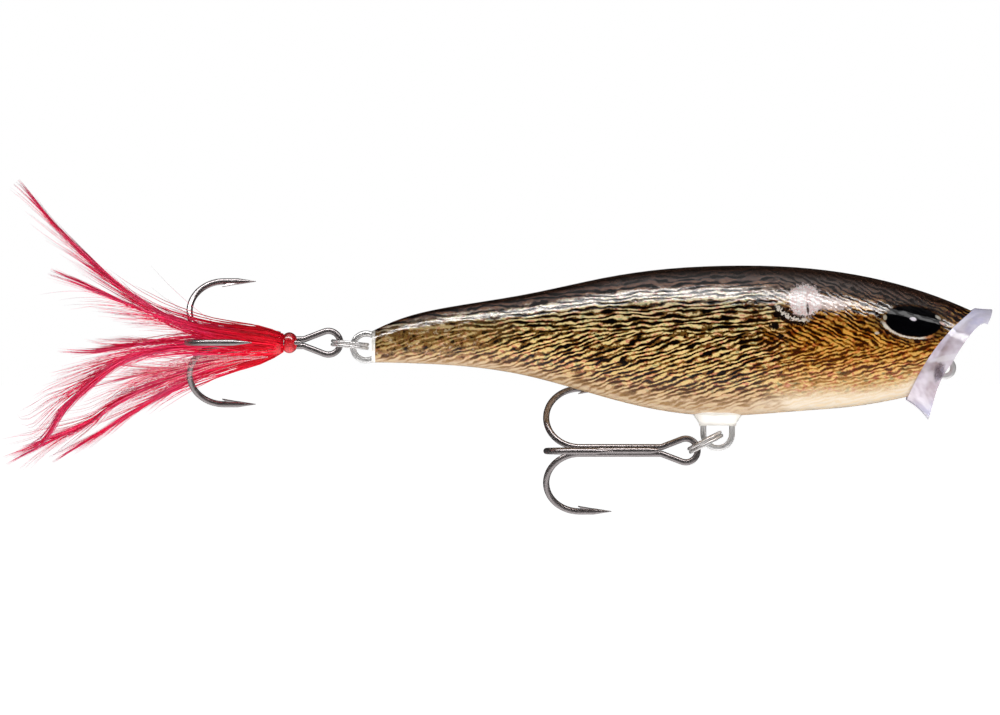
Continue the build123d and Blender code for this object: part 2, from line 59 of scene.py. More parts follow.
VIEW_WIDTH = 0.1452  # what the camera sees across, at the lure
CAMERA_DISTANCE = 1.0
CAMERA_AIM = (-0.0646, 0.0, 0.00152)
SENSOR = 36.0
FLOOR_Z = -0.085  # below every pose of the hanging trebles
FLOOR_SIDE = 40.0


def make_camera():
    data = bpy.data.cameras.new("camera")
    data.sensor_width = SENSOR
    data.lens = SENSOR * CAMERA_DISTANCE / VIEW_WIDTH
    data.clip_start = 0.05
    data.clip_end = 100
    camera = bpy.data.objects.new("camera", data)
    camera.location = (CAMERA_AIM[0], CAMERA_AIM[1] - CAMERA_DISTANCE, CAMERA_AIM[2])
    camera.rotation_euler = (math.radians(90), 0, 0)
    bpy.context.collection.objects.link(camera)
    bpy.context.scene.camera = camera
    bpy.context.scene.view_settings.view_transform = "Standard"


def softbox(name, at, size, power, gloss=True, diffuse=True):
    """A rectangular area light that faces the middle of the lure, for gloss, diffuse shading or both."""
    data = bpy.data.lights.new(name, "AREA")
    data.shape = "RECTANGLE"
    data.size, data.size_y = size
    data.energy = power
    lamp = bpy.data.objects.new(name, data)
    lamp.location = at
    aim = np.array(CAMERA_AIM) - np.array(at)
    lamp.rotation_euler = (math.atan2(math.hypot(aim[0], aim[1]), -aim[2]), 0, math.atan2(aim[0], -aim[1]))
    lamp.visible_glossy = gloss
    lamp.visible_diffuse = diffuse
    bpy.context.collection.objects.link(lamp)


# ---------------------------------------------------------------- node graphs


def paint(red, green, blue):
    """An 8-bit screen colour as the linear RGBA that shaders take."""
    linear = [c / 3294.6 if c <= 10 else ((c / 255 + 0.055) / 1.055) ** 2.4 for c in (red, green, blue)]
    return (*linear, 1.0)


def set_stops(elements, stops):
    """Fills a colour ramp with (place, colour) stops that lie in rising order."""
    while len(elements) < len(stops):
        elements.new(0.5)
    for element, (place, _) in zip(elements, stops):
        element.position = place
    for element, (_, colour) in zip(elements, stops):
        element.color = colour


class Graph:
    """Short calls for the nodes of one material."""

    def __init__(self, name):
        self.material = bpy.data.materials.new(name)
        self.material.use_nodes = True
        self.nodes = self.material.node_tree.nodes
        self.links = self.material.node_tree.links
        self.shader = self.nodes["Principled BSDF"]

    def plug(self, socket, value):
        if isinstance(value, bpy.types.NodeSocket):
            self.links.new(value, socket)
        else:
            socket.default_value = value

    def node(self, kind, inputs=(), **settings):
        made = self.nodes.new(kind)
        for key, value in settings.items():
            setattr(made, key, value)
        for key, value in dict(inputs).items():
            self.plug(made.inputs[key], value)
        return made

    def math(self, operation, a, b=0.0, clamp=False):
        return self.node("ShaderNodeMath", {0: a, 1: b}, operation=operation, use_clamp=clamp).outputs[0]

    def add(self, a, b):
        return self.math("ADD", a, b)

    def subtract(self, a, b):
        return self.math("SUBTRACT", a, b)

    def times(self, a, b):
        return self.math("MULTIPLY", a, b)

    def position(self):
        """Place on the piece in millimetres, as (vector, x, y, z)."""
        coordinates = self.node("ShaderNodeTexCoord").outputs["Object"]
        scaled = self.node("ShaderNodeVectorMath", {0: coordinates, 3: 1 / MM}, operation="SCALE").outputs[0]
        parts = self.node("ShaderNodeSeparateXYZ", {0: scaled}).outputs
        return scaled, parts[0], parts[1], parts[2]

    def vector(self, x, y, z):
        return self.node("ShaderNodeCombineXYZ", {0: x, 1: y, 2: z}).outputs[0]

    def noise(self, vector, scale=1.0, detail=2.0, rough=0.5):
        inputs = {"Vector": vector, "Scale": scale, "Detail": detail, "Roughness": rough}
        return self.node("ShaderNodeTexNoise", inputs).outputs["Fac"]

    def step(self, value, start, end):
        """0 at start to 1 at end, smoothly, in either direction."""
        inputs = {"Value": value, "From Min": start, "From Max": end}
        return self.node("ShaderNodeMapRange", inputs, interpolation_type="SMOOTHSTEP").outputs["Result"]

    def ramp(self, value, *stops):
        """A colour ramp whose stops are (place, red, green, blue)."""
        made = self.node("ShaderNodeValToRGB", {0: value})
        set_stops(made.color_ramp.elements, [(place, paint(*shade)) for place, *shade in stops])
        return made.outputs[0]

    def mix(self, share, a, b, blend="MIX"):
        inputs = {0: share, 6: a, 7: b}
        return self.node("ShaderNodeMix", inputs, data_type="RGBA", blend_type=blend).outputs[2]

    def curve(self, value, points):
        """A smooth curve through (in, out) points that lie in 0 to 1."""
        made = self.node("ShaderNodeFloatCurve", {1: value})
        line = made.mapping.curves[0]
        while len(line.points) < len(points):
            line.points.new(0.5, 0.5)
        for spot, (a, b) in zip(line.points, points):
            spot.location = (a, b)
        made.mapping.update()
        return made.outputs[0]

    def oval(self, x, z, centre, radii, turn=0.0):
        """Distance from an oval's centre, 1 at its edge. turn is in degrees, up at the nose."""
        c, s = math.cos(math.radians(turn)), math.sin(math.radians(turn))
        dx, dz = self.subtract(x, centre[0]), self.subtract(z, centre[1])
        along = self.add(self.times(dx, c / radii[0]), self.times(dz, s / radii[0]))
        across = self.subtract(self.times(dz, c / radii[1]), self.times(dx, s / radii[1]))
        return self.math("SQRT", self.add(self.times(along, along), self.times(across, across)))

    def bump(self, height, distance, strength=1.0):
        inputs = {"Height": height, "Distance": distance, "Strength": strength}
        return self.node("ShaderNodeBump", inputs).outputs[0]

    def finish(self, **sockets):
        for name, value in sockets.items():
            self.plug(self.shader.inputs[name.replace("_", " ")], value)
        return self.material


# ---------------------------------------------------------------- the fur print, with a painted highlight band and glint

BODY = ("body_left_half", "body_right_half")
STATIONS = 14  # places along the body where its height is read


def body_profile():
    """The body's box, and its belly and back heights at stations along it, as shares of that box."""
    points = np.vstack([[v.co[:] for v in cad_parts[n].data.vertices] for n in BODY]) / MM
    low, high = points.min(0), points.max(0)
    length, height = high[0] - low[0], high[2] - low[2]
    belly, back = [], []
    for share in np.linspace(0, 1, STATIONS):
        near = np.abs(points[:, 0] - low[0] - share * length) < length / STATIONS / 3
        shift = points[near][:, 2]
        belly.append((share, (shift.min() - low[2]) / height))
        back.append((share, (shift.max() - low[2]) / height))
    return low, high, belly, back


def strokes(g, place, tilt, pitch, length, offset):
    """Fur strokes that rise towards the nose by tilt degrees, from about -1, dark, to 1, light."""
    x, y, z = place
    c, s = math.cos(math.radians(tilt)), math.sin(math.radians(tilt))
    along = g.add(g.times(x, c), g.times(z, s))
    across = g.subtract(g.times(z, c), g.times(x, s))
    drift = g.noise(g.vector(g.times(along, 0.8 / length), offset, g.times(across, 0.35 / pitch)), detail=1.0)
    waver = g.vector(g.times(along, 3.4 / length), g.times(y, 0.5), g.times(across, 0.7 / pitch))
    wobble = g.noise(waver, detail=1.5)
    bent = g.add(across, g.add(g.times(drift, pitch * 2.2), g.times(wobble, pitch * 0.75)))
    band = g.math("SINE", g.times(bent, 2 * math.pi / pitch))
    depth = g.add(g.times(y, 0.8), offset)
    grain = g.vector(g.times(along, 1.8 / length), depth, g.times(bent, 0.95 / pitch))
    broken = g.subtract(g.noise(grain, detail=1.0), 0.5)
    return g.add(g.times(band, 0.72), g.times(broken, 4.0))


def fur_print_and_painted_highlights():
    """The lacquered print: dark back, wavy strokes, golden head, mottled tail, pale belly, eye and ear, with
    a painted highlight band along the upper flank and a painted glint in the eye.
    """
    g = Graph("fur_print_lacquer_and_painted_highlights")
    low, high, belly, back = body_profile()
    spot, x, y, z = g.position()
    share_x = g.math("DIVIDE", g.subtract(x, low[0]), high[0] - low[0], clamp=True)
    share_z = g.math("DIVIDE", g.subtract(z, low[2]), high[2] - low[2])
    belly_at, back_at = g.curve(share_x, belly), g.curve(share_x, back)
    rise = g.math("DIVIDE", g.subtract(share_z, belly_at), g.subtract(back_at, belly_at))
    speck = g.noise(spot, scale=3.4, detail=2.0, rough=0.6)
    cloud = g.noise(spot, scale=0.35, detail=2.0)
    rise = g.add(rise, g.add(g.times(g.subtract(speck, 0.5), 0.07), g.times(g.subtract(cloud, 0.5), 0.05)))

    place = (x, y, z)
    upper = strokes(g, place, 4, 0.66, 3.6, 0.0)
    lower = strokes(g, place, 18, 0.62, 3.0, 7.0)
    face = strokes(g, place, -27, 0.62, 2.2, 13.0)
    jaw = strokes(g, place, 14, 0.56, 2.2, 21.0)
    fur = g.add(g.times(upper, g.step(rise, 0.49, 0.59)), g.times(lower, g.step(rise, 0.59, 0.49)))
    cheek = g.add(g.times(face, g.step(rise, 0.40, 0.50)), g.times(jaw, g.step(rise, 0.50, 0.40)))
    edge = g.add(x, g.times(g.subtract(cloud, 0.5), 14.0))
    head = g.step(edge, -29.0, -20.0)
    tail = g.step(edge, -61.0, -73.0)
    fur = g.add(g.times(fur, g.subtract(1.0, head)), g.times(cheek, head))
    fur = g.add(fur, g.times(g.subtract(speck, 0.5), 1.2))
    fur = g.times(fur, g.subtract(1.0, g.times(tail, 0.2)))

    # Painted highlight: near rise 0.76 to 0.84 these three flank ramps turn pale lavender-cream, a band that
    # strengthens the gloss strip's reflection on the upper flank.
    flank_light = g.ramp(
        rise,
        (0.00, 206, 182, 156), (0.05, 192, 164, 124), (0.13, 196, 164, 118),
        (0.26, 222, 194, 142), (0.42, 238, 214, 164), (0.62, 244, 226, 186),
        (0.76, 236, 222, 200), (0.83, 236, 226, 222), (0.865, 150, 102, 66),
        (0.90, 112, 66, 42), (0.935, 74, 46, 34), (1.00, 70, 50, 41),
    )
    flank_mid = g.ramp(
        rise,
        (0.02, 196, 168, 136), (0.12, 150, 108, 58), (0.30, 124, 82, 34),
        (0.60, 108, 78, 38), (0.76, 112, 84, 56), (0.83, 130, 106, 94),
        (0.88, 84, 44, 24), (0.93, 56, 33, 23), (1.00, 66, 47, 38),
    )
    flank_dark = g.ramp(
        rise,
        (0.00, 198, 172, 144), (0.06, 146, 112, 70), (0.14, 72, 40, 12),
        (0.24, 22, 8, 1), (0.36, 6, 2, 0), (0.78, 5, 2, 1),
        (0.84, 20, 12, 10), (0.90, 16, 7, 3), (0.95, 36, 23, 17), (1.00, 54, 39, 32),
    )
    head_light = g.ramp(
        rise,
        (0.08, 216, 200, 178), (0.17, 200, 170, 122), (0.26, 216, 174, 106),
        (0.55, 220, 166, 84), (0.74, 206, 158, 94), (0.84, 116, 76, 46),
        (0.91, 80, 50, 37), (1.00, 68, 49, 41),
    )
    head_mid = g.ramp(
        rise,
        (0.08, 212, 194, 168), (0.17, 186, 146, 90), (0.28, 162, 106, 34),
        (0.55, 134, 76, 14), (0.74, 112, 64, 20), (0.86, 74, 44, 25), (1.00, 64, 46, 38),
    )
    head_dark = g.ramp(
        rise,
        (0.09, 206, 184, 154), (0.19, 150, 104, 50), (0.28, 78, 38, 4),
        (0.50, 44, 16, 0), (0.72, 24, 9, 1), (0.86, 28, 13, 7), (1.00, 60, 43, 36),
    )
    light, dark = g.mix(head, flank_light, head_light), g.mix(head, flank_dark, head_dark)
    middle = g.mix(head, flank_mid, head_mid)
    colour = g.mix(g.step(fur, -0.50, -0.08), dark, middle)
    colour = g.mix(g.step(fur, 0.10, 0.60), colour, light)

    fleck = g.noise(g.vector(g.times(x, 0.8), y, g.times(z, 1.5)), scale=1.6, detail=1.0)
    tint = g.ramp(
        fleck,
        (0.32, 110, 150, 84), (0.40, 250, 240, 170), (0.56, 255, 244, 196),
        (0.62, 244, 150, 66), (0.70, 214, 62, 36),
    )
    printed = g.times(g.step(rise, 0.08, 0.2), g.step(rise, 0.92, 0.80))
    colour = g.mix(g.times(printed, 0.62), colour, g.mix(1.0, colour, tint, blend="MULTIPLY"))

    mottle = g.ramp(
        g.noise(spot, scale=1.0, detail=3.0, rough=0.65),
        (0.32, 14, 6, 2), (0.43, 74, 50, 20), (0.50, 160, 124, 66),
        (0.57, 120, 66, 34), (0.66, 226, 204, 160),
    )
    mottled = g.times(g.times(tail, 0.55), g.times(g.step(rise, 0.12, 0.25), g.step(rise, 0.84, 0.74)))
    colour = g.mix(mottled, colour, mottle)

    colour = draw_ear(g, colour, x, z, speck)
    colour, gloss = draw_eye_and_painted_glint(g, colour, x, z, speck)
    printed_height = g.add(g.times(fur, 0.35), speck)
    height = g.times(printed_height, g.times(g.step(rise, 0.02, 0.12), g.step(rise, 0.97, 0.88)))
    relief = g.times(height, gloss)
    shine = g.times(g.step(fur, -0.7, 0.3), g.step(rise, 0.97, 0.90))
    coat = g.times(g.add(g.times(shine, 0.65), 0.35), g.add(g.times(gloss, 0.85), 0.15))
    return g.finish(Base_Color=colour, Roughness=0.6, Specular_IOR_Level=0.0, Coat_Weight=coat,
                    Coat_Roughness=0.05, Coat_IOR=1.8, Coat_Normal=g.bump(relief, 0.00003, 0.8))


EAR = (-20.6, 9.8)
EAR_SIZE = 2.45
EYE = (-5.0, 6.75)
EYE_SIZE = (4.15, 2.2)
EYE_TURN = -7


def draw_ear(g, colour, x, z, speck):
    """A pale round ear with a dark slit, a pale patch in front of it and dark folds behind and below."""
    ragged = g.times(g.subtract(speck, 0.5), 0.95)
    around = g.add(g.oval(x, z, EAR, (EAR_SIZE, EAR_SIZE * 0.97)), ragged)
    patch = g.add(g.oval(x, z, (EAR[0] + 3.4, EAR[1] - 0.5), (3.2, 1.05), -5), ragged)
    fold = g.add(g.oval(x, z, (EAR[0] - 0.4, EAR[1] + 0.9), (4.4, 4.1)), g.times(ragged, 0.4))
    below = g.times(g.step(z, EAR[1] - 0.2, EAR[1] - 1.2), g.step(x, EAR[0] + 1.2, EAR[0] - 0.4))
    dark, pale, inner_dark = paint(20, 9, 6), paint(226, 216, 204), paint(30, 14, 9)
    for radius, half, shade in ((1.06, 0.10, dark), (0.93, 0.07, pale), (0.82, 0.08, inner_dark)):
        line = g.step(g.math("ABSOLUTE", g.subtract(fold, radius)), half, half * 0.35)
        colour = g.mix(g.times(line, below), colour, shade)
    colour = g.mix(g.times(g.step(patch, 1.15, 0.6), 0.8), colour, paint(228, 204, 196))
    blush = g.mix(g.step(speck, 0.38, 0.58), paint(236, 204, 200), paint(255, 250, 248))
    colour = g.mix(g.step(around, 1.08, 0.86), colour, blush)
    rim = g.step(g.math("ABSOLUTE", g.subtract(around, 0.72)), 0.10, 0.02)
    colour = g.mix(g.times(rim, 0.5), colour, paint(196, 158, 156))
    inner = g.oval(x, z, (EAR[0] + 0.5, EAR[1] + 0.15), (0.42, 1.5), 4)
    colour = g.mix(g.times(g.step(inner, 1.2, 0.5), 0.55), colour, paint(208, 164, 162))
    slit = g.oval(x, z, (EAR[0] + 0.35, EAR[1] - 1.25), (0.2, 0.85), 4)
    colour = g.mix(g.step(slit, 1.25, 0.6), colour, paint(64, 34, 28))
    for spot, size in (((EAR[0] - 4.5, EAR[1] - 3.75), 0.5), ((EAR[0] - 3.5, EAR[1] - 5.2), 0.34)):
        blot = g.add(g.oval(x, z, spot, (size * 1.5, size)), g.times(ragged, 2.0))
        colour = g.mix(g.step(blot, 1.2, 0.7), colour, paint(14, 8, 6))
    return colour


def draw_eye_and_painted_glint(g, colour, x, z, speck):
    """A glossy black eye with a broken white lid line and a painted glint. Also gives 0 where the coat is
    smooth.
    """
    ragged = g.times(g.subtract(speck, 0.5), 0.16)
    eye = g.oval(x, z, EYE, EYE_SIZE, EYE_TURN)
    halo = g.add(eye, g.times(ragged, 4.0))
    colour = g.mix(g.times(g.step(halo, 1.75, 1.15), 0.75), colour, paint(26, 14, 10))
    lid = g.step(g.math("ABSOLUTE", g.subtract(g.add(eye, ragged), 1.09)), 0.09, 0.03)
    below = g.times(g.step(z, EYE[1] + 0.3, EYE[1] - 0.6), g.step(x, EYE[0] + 2.6, EYE[0] + 1.4))
    colour = g.mix(g.times(lid, below), colour, paint(214, 204, 190))
    amber = g.times(g.step(z, EYE[1] - 0.8, EYE[1] - 1.6), g.step(x, EYE[0] + 1.2, EYE[0] + 2.2))
    corner = g.times(g.times(lid, amber), g.step(x, EYE[0] + 3.2, EYE[0] + 2.4))
    colour = g.mix(corner, colour, paint(190, 120, 70))
    colour = g.mix(g.step(eye, 1.03, 0.96), colour, paint(4, 4, 6))
    # Pale spots on the eye: the first is a painted glint, the others sit around its edge.
    marks = [
        ((0.0, 0.32), (0.50, 0.27), -12, paint(240, 232, 240)),
        ((3.65, 0.55), (0.50, 0.22), -35, paint(196, 190, 180)),
        ((4.25, -0.35), (0.50, 0.18), -30, paint(204, 160, 146)),
        ((-4.0, -0.75), (0.42, 0.24), -25, paint(216, 210, 196)),
        ((-4.1, 0.55), (0.28, 0.4), 0, paint(170, 160, 140)),
        ((-5.3, -1.7), (0.35, 0.22), 0, paint(206, 190, 170)),
    ]
    for (dx, dz), radii, turn, shade in marks:
        mark = g.add(g.oval(x, z, (EYE[0] + dx, EYE[1] + dz), radii, turn), g.times(ragged, 1.5))
        colour = g.mix(g.step(mark, 1.2, 0.7), colour, shade)
    return colour, g.step(eye, 1.0, 1.2)


# ---------------------------------------------------------------- metals, plastics and lacquer


def metal(name, dark, light, rough, metallic):
    """Plated metal whose tone and gloss vary a little along drawing marks."""
    g = Graph(name)
    spot, x, y, z = g.position()
    drawn = g.noise(g.vector(g.times(x, 0.35), y, z), scale=9.0, detail=3.0)
    worn = g.noise(spot, scale=0.9, detail=2.0)
    colour = g.mix(g.add(g.times(drawn, 0.6), g.times(worn, 0.4)), dark, light)
    gloss = g.add(g.times(drawn, 0.10), rough)
    relief = g.bump(drawn, 0.000004, 0.4)
    return g.finish(Base_Color=colour, Metallic=metallic, Roughness=gloss, Normal=relief)


def cast_lead():
    g = Graph("cast_lead")
    spot, *_ = g.position()
    grain = g.noise(spot, scale=2.5, detail=4.0)
    colour = g.mix(grain, paint(84, 86, 92), paint(128, 130, 136))
    return g.finish(Base_Color=colour, Metallic=1.0, Roughness=0.55, Normal=g.bump(grain, 0.00004, 0.6))


def clear_cup_and_painted_reflections():
    """Clear plastic, lavender at the tips; the cloudy pinkish tone over the plug is painted refraction, the
    bright streak along the joint a painted reflection, and it has a faint painted glow.
    """
    g = Graph("clear_cup_and_painted_reflections")
    spot, x, _, z = g.position()
    haze = g.noise(spot, scale=0.42, detail=2.0)
    ragged = g.times(g.subtract(g.noise(spot, scale=1.4, detail=2.0), 0.5), 0.7)
    # Painted refraction: a cloudy pinkish tone standing in for the plug seen through the plastic.
    tone = g.mix(g.step(haze, 0.35, 0.65), paint(190, 170, 172), paint(238, 228, 234))
    tips = g.step(g.math("ABSOLUTE", z), 3.6, 6.6)
    lavender = g.mix(g.step(haze, 0.4, 0.6), paint(226, 226, 250), paint(250, 248, 255))
    colour = g.mix(g.times(tips, 0.85), tone, lavender)
    # Painted reflections and refractions: a white streak along the joint, a dark patch and a greyish-pink
    # patch near the wire, and a pale lavender streak at the lower tip.
    marks = [
        ((0.0, 1.5), (2.6, 0.42), 12, 0.9, paint(252, 248, 250)),
        ((-1.3, -0.6), (0.75, 1.3), -20, 0.85, paint(74, 56, 58)),
        ((1.2, -1.5), (1.2, 0.8), 0, 0.5, paint(150, 126, 130)),
        ((1.0, -5.6), (0.3, 2.2), -12, 0.6, paint(240, 238, 252)),
    ]
    for centre, radii, turn, share, shade in marks:
        mark = g.add(g.oval(x, z, centre, radii, turn), ragged)
        colour = g.mix(g.times(g.step(mark, 1.3, 0.6), share), colour, shade)
    ripple = g.noise(spot, scale=0.7, detail=1.0)
    # Emission makes a faint painted glow, standing in for light passing through the plastic.
    g.finish(Base_Color=colour, Roughness=0.08, Coat_Weight=0.6, Coat_Roughness=0.03,
             Normal=g.bump(ripple, 0.0001, 0.35), Specular_IOR_Level=0.7,
             Emission_Color=colour, Emission_Strength=0.14)
    facing = g.node("ShaderNodeLayerWeight", {"Blend": 0.35}).outputs["Facing"]
    solid = g.add(g.times(facing, 0.3), g.add(g.times(haze, 0.25), 0.36))
    clear = g.node("ShaderNodeBsdfTransparent", {"Color": paint(240, 238, 250)}).outputs[0]
    blend = g.node("ShaderNodeMixShader", {0: solid, 1: clear, 2: g.shader.outputs[0]}).outputs[0]
    g.links.new(blend, g.nodes["Material Output"].inputs[0])
    return g.material


def white_plastic():
    g = Graph("white_plastic")
    spot, *_ = g.position()
    cloud = g.noise(spot, scale=0.8, detail=3.0)
    colour = g.mix(cloud, paint(240, 234, 224), paint(252, 249, 244))
    return g.finish(Base_Color=colour, Roughness=0.3, Coat_Weight=0.7, Coat_Roughness=0.08,
                    Normal=g.bump(cloud, 0.00003, 0.3))


def red_lacquer():
    g = Graph("red_lacquer")
    spot, *_ = g.position()
    depth = g.noise(spot, scale=1.3, detail=2.0)
    colour = g.mix(depth, paint(176, 6, 22), paint(232, 24, 40))
    return g.finish(Base_Color=colour, Roughness=0.28, Coat_Weight=1.0, Coat_Roughness=0.03,
                    Normal=g.bump(depth, 0.00005, 0.3))


def red_thread():
    g = Graph("red_thread")
    _, x, y, z = g.position()
    fibre = g.noise(g.vector(g.times(x, 3.0), y, z), scale=4.0, detail=2.0)
    colour = g.mix(fibre, paint(186, 8, 22), paint(240, 36, 48))
    return g.finish(Base_Color=colour, Roughness=0.4, Coat_Weight=0.8, Coat_Roughness=0.1,
                    Normal=g.bump(fibre, 0.00003, 0.5))


def feather_dye_and_glow():
    """Dyed barbs: red at the wrap, crimson along the stem, pink and then grey at their fine ends, with a
    faint painted glow for light passing through them.
    """
    g = Graph("dyed_feather_with_painted_glow")
    spot, x, _, _ = g.position()
    along = g.node("ShaderNodeAttribute", attribute_name="along").outputs["Fac"]
    tone = g.node("ShaderNodeAttribute", attribute_name="tone").outputs["Fac"]
    near = g.ramp(tone, (0.0, 176, 2, 34), (0.35, 224, 10, 58), (0.7, 248, 44, 96), (1.0, 255, 110, 148))
    wrap_x = mm_box("thread_wrap")[0][0]
    root = g.step(x, wrap_x - 14.0, wrap_x)
    deep = g.mix(g.step(tone, 0.1, 0.6), paint(176, 2, 14), paint(244, 12, 32))
    near = g.mix(g.times(root, 0.8), near, deep)
    far = g.ramp(tone, (0.0, 176, 20, 66), (0.5, 236, 60, 108), (0.75, 200, 90, 126), (1.0, 78, 52, 68))
    banded = g.noise(spot, scale=1.6, detail=2.0)
    colour = g.mix(g.step(g.add(along, g.times(g.subtract(banded, 0.5), 0.5)), 0.45, 0.95), near, far)
    # Emission makes a faint painted glow, standing in for light passing through the thin barbs.
    return g.finish(Base_Color=colour, Roughness=0.5, Specular_IOR_Level=0.15,
                    Emission_Color=colour, Emission_Strength=0.2)


def flash_film():
    """Thin glitter film: tiny pale, pink and gold facets."""
    g = Graph("flash_film")
    spot, *_ = g.position()
    facet = g.noise(spot, scale=7.0, detail=1.0)
    colour = g.ramp(
        facet,
        (0.34, 230, 40, 86), (0.44, 255, 150, 170), (0.50, 255, 240, 226),
        (0.56, 240, 120, 120), (0.66, 255, 190, 210),
    )
    return g.finish(Base_Color=colour, Roughness=0.2, Coat_Weight=0.6, Coat_Roughness=0.05,
                    Normal=g.bump(facet, 0.0001, 0.8))


# ---------------------------------------------------------------- the dressed tail

SIDES = 3  # a barb's section is a triangle
BARB_POINTS = 9
ROOT_BARBS = 46  # thick barbs that hide the shanks behind the bead, for each feather
LONGEST_REACH = 1.02  # how far along a stem its barbs may run
CLUMP = 7  # barbs that cling together


def add_mesh(name, places, faces, material, smooth=False):
    """A new object from corners in metres."""
    mesh = bpy.data.meshes.new(name)
    mesh.from_pydata(places, [], faces)
    mesh.polygons.foreach_set("use_smooth", [smooth] * len(mesh.polygons))
    mesh.materials.append(material)
    piece = bpy.data.objects.new(name, mesh)
    bpy.context.collection.objects.link(piece)
    return piece


def tubes(name, fibres, material, body):
    """One mesh of pointed fibres. Each fibre is (points in millimetres, thickness, tone)."""
    places, faces, along, tones = [], [], [], []
    for path, thickness, tone in fibres:
        count = len(path)
        heading = np.gradient(path, axis=0)
        heading /= np.linalg.norm(heading, axis=1)[:, None]
        side = np.cross(heading, (0.0, 1.0, 0.0))
        side /= np.linalg.norm(side, axis=1)[:, None]
        lift = np.cross(side, heading)
        share = np.linspace(0, 1, count)
        radius = thickness / 2 * (1 - share) ** 0.6 + 0.004
        first = len(places)
        for turn in range(SIDES):
            angle = 2 * math.pi * turn / SIDES
            ring = path + radius[:, None] * (math.cos(angle) * side + math.sin(angle) * lift)
            places.extend(ring)
            along.extend(share)
            tones.extend([tone] * count)
        for turn in range(SIDES):
            a, b = first + turn * count, first + (turn + 1) % SIDES * count
            faces.extend((a + i, a + i + 1, b + i + 1, b + i) for i in range(count - 1))
        faces.append(tuple(first + turn * count for turn in range(SIDES)))
        faces.append(tuple(first + turn * count + count - 1 for turn in reversed(range(SIDES))))
    piece = add_mesh(name, (np.array(places) * MM).tolist(), faces, material, smooth=True)
    for label, values in (("along", along), ("tone", tones)):
        piece.data.attributes.new(label, "FLOAT", "POINT").data.foreach_set("value", values)
    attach(piece, body)
    return piece


class Spine:
    """A feather's stem: a smooth curve through a few points in millimetres, straight on past its tip."""

    def __init__(self, points):
        points = np.array(points, float)
        self.points = np.vstack([2 * points[0] - points[1], points, 2 * points[-1] - points[-2]])
        self.spans = len(points) - 1
        steps = np.linalg.norm(np.diff(points, axis=0), axis=1)
        self.knots = np.concatenate([[0], np.cumsum(steps)]) / steps.sum()
        self.length = steps.sum()

    def at(self, share):
        """The point at a share of the length."""
        inside = min(max(share, 0.0), 1.0)
        span = min(int(np.searchsorted(self.knots, inside, side="right")) - 1, self.spans - 1)
        t = (inside - self.knots[span]) / (self.knots[span + 1] - self.knots[span])
        a, b, c, d = self.points[span:span + 4]
        square, cube = 2 * a - 5 * b + 4 * c - d, 3 * b - a - 3 * c + d
        point = 0.5 * (2 * b + (c - a) * t + square * t**2 + cube * t**3)
        heading = self.points[-2] - self.points[-3]
        return point + heading / np.linalg.norm(heading) * (share - inside) * self.length

    def across(self, share):
        """The direction square to the stem in the feather's plane, up on a feather that runs level."""
        heading = self.at(share + 0.01) - self.at(share - 0.01)
        square = np.array((heading[2], 0.0, -heading[0]))
        return square / np.linalg.norm(square)


def barb(spine, start, reach, spread, drift):
    """A barb that leaves the stem at start, follows it for reach, and parts from it by spread and drift."""
    path = []
    for share in np.linspace(0, 1, BARB_POINTS):
        here = start + reach * share
        away = spine.across(here) * spread * share**1.7
        path.append(spine.at(here) + away + np.array((0, drift * share**1.3, 0)))
    return np.array(path)


# Each feather: its CAD node, its depth at the hooks, the stem as shares of the node's box from root to tip,
# and its tufts as (barbs, where they leave the stem, how far they reach, how far they spread, thickness).
FEATHERS = [
    ("feather_top_long", -1.6, [(0, 0), (0.275, 0.057), (0.552, 0.267), (0.842, 0.677), (1.0, 0.985)], [
        (150, (0.02, 0.72), (0.25, 0.45), (-0.75, 0.35), 0.13),
        (110, (0.10, 0.85), (0.20, 0.38), (-2.6, -0.4), 0.07),
        (26, (0.05, 0.60), (0.15, 0.28), (0.2, 1.0), 0.06),
    ]),
    ("feather_top_short", -2.2, [(0, 0), (0.32, 0.12), (0.58, 0.38), (0.82, 0.68), (1.0, 0.90)], [
        (110, (0.02, 0.70), (0.25, 0.45), (-0.6, 0.3), 0.12),
        (90, (0.08, 0.62), (0.24, 0.46), (-4.2, -0.5), 0.06),
    ]),
    ("feather_middle", 1.2, [(0, 0.5), (0.37, 0.45), (0.65, 0.1), (0.85, -0.35), (1.0, -0.30)], [
        (110, (0.0, 0.60), (0.25, 0.42), (-0.5, 0.9), 0.12),
        (80, (0.1, 0.60), (0.25, 0.45), (-0.8, 2.2), 0.06),
    ]),
    ("feather_low_inner", -0.4, [
        (0, 1.0), (0.30, 0.99), (0.50, 0.93), (0.645, 0.76), (0.81, 0.42), (0.90, 0.12), (1.0, 0.0),
    ], [
        (210, (0.02, 0.62), (0.25, 0.42), (-0.8, 0.8), 0.14),
        (60, (0.5, 0.75), (0.2, 0.3), (-0.3, 0.7), 0.10),
        (120, (0.25, 0.62), (0.22, 0.40), (1.0, 6.0), 0.08),
    ]),
    ("feather_low_broad", 3.4, [
        (0, 0.97), (0.30, 0.80), (0.58, 0.53), (0.70, 0.33), (0.86, 0.16), (1.0, 0.0),
    ], [
        (190, (0.02, 0.68), (0.25, 0.42), (-0.9, 0.9), 0.12),
        (120, (0.12, 0.72), (0.22, 0.42), (-2.4, 3.4), 0.06),
    ]),
    ("feather_low_outer", 3.9, [
        (0, 0.95), (0.36, 0.74), (0.62, 0.46), (0.80, 0.24), (0.90, 0.12), (1.0, 0.0),
    ], [
        (190, (0.02, 0.68), (0.25, 0.42), (-0.5, 0.7), 0.12),
        (110, (0.10, 0.75), (0.22, 0.38), (-1.3, 2.4), 0.06),
    ]),
    ("feather_under", 3.0, [(0, 0.9), (0.36, 0.55), (0.70, 0.32), (1.0, 0.0)], [
        (120, (0.0, 0.55), (0.25, 0.40), (-1.2, 1.6), 0.09),
        (110, (0.1, 0.65), (0.25, 0.45), (-3.2, 3.6), 0.05),
    ]),
]


